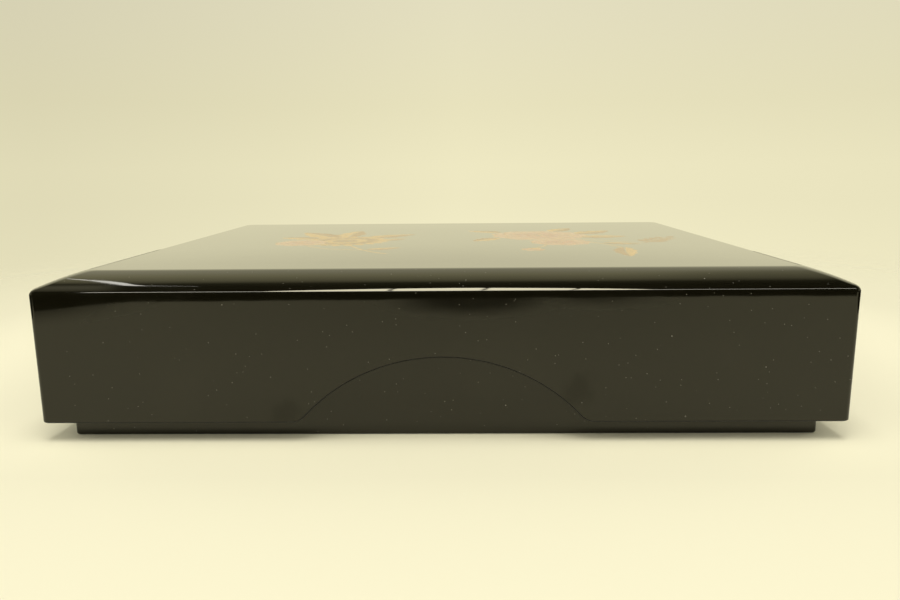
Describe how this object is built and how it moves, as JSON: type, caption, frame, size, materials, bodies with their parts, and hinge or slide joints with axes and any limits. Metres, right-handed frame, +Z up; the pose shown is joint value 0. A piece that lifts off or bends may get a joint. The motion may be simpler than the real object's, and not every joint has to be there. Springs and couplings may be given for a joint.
{
  "type": "lacquer document box",
  "caption": "Low rectangular lacquered box for documents: an open body under a deep lift-off lid with sloping shoulders and an arched finger notch in each long side.",
  "frame": {"origin": "middle of the underside, on the surface that the box stands on", "axes": "+X along the long side, to the right seen from the front; +Y towards the back; +Z up"},
  "size_m": [0.33, 0.268, 0.0701],
  "materials": {
    "black_lacquer": "polished black lacquer over wood, with gold and salmon sprinkled decoration on the lid's top"
  },
  "bodies": {
    "root": {"box_body": "black_lacquer", "lid": "black_lacquer"}
  },
  "joints": []
}
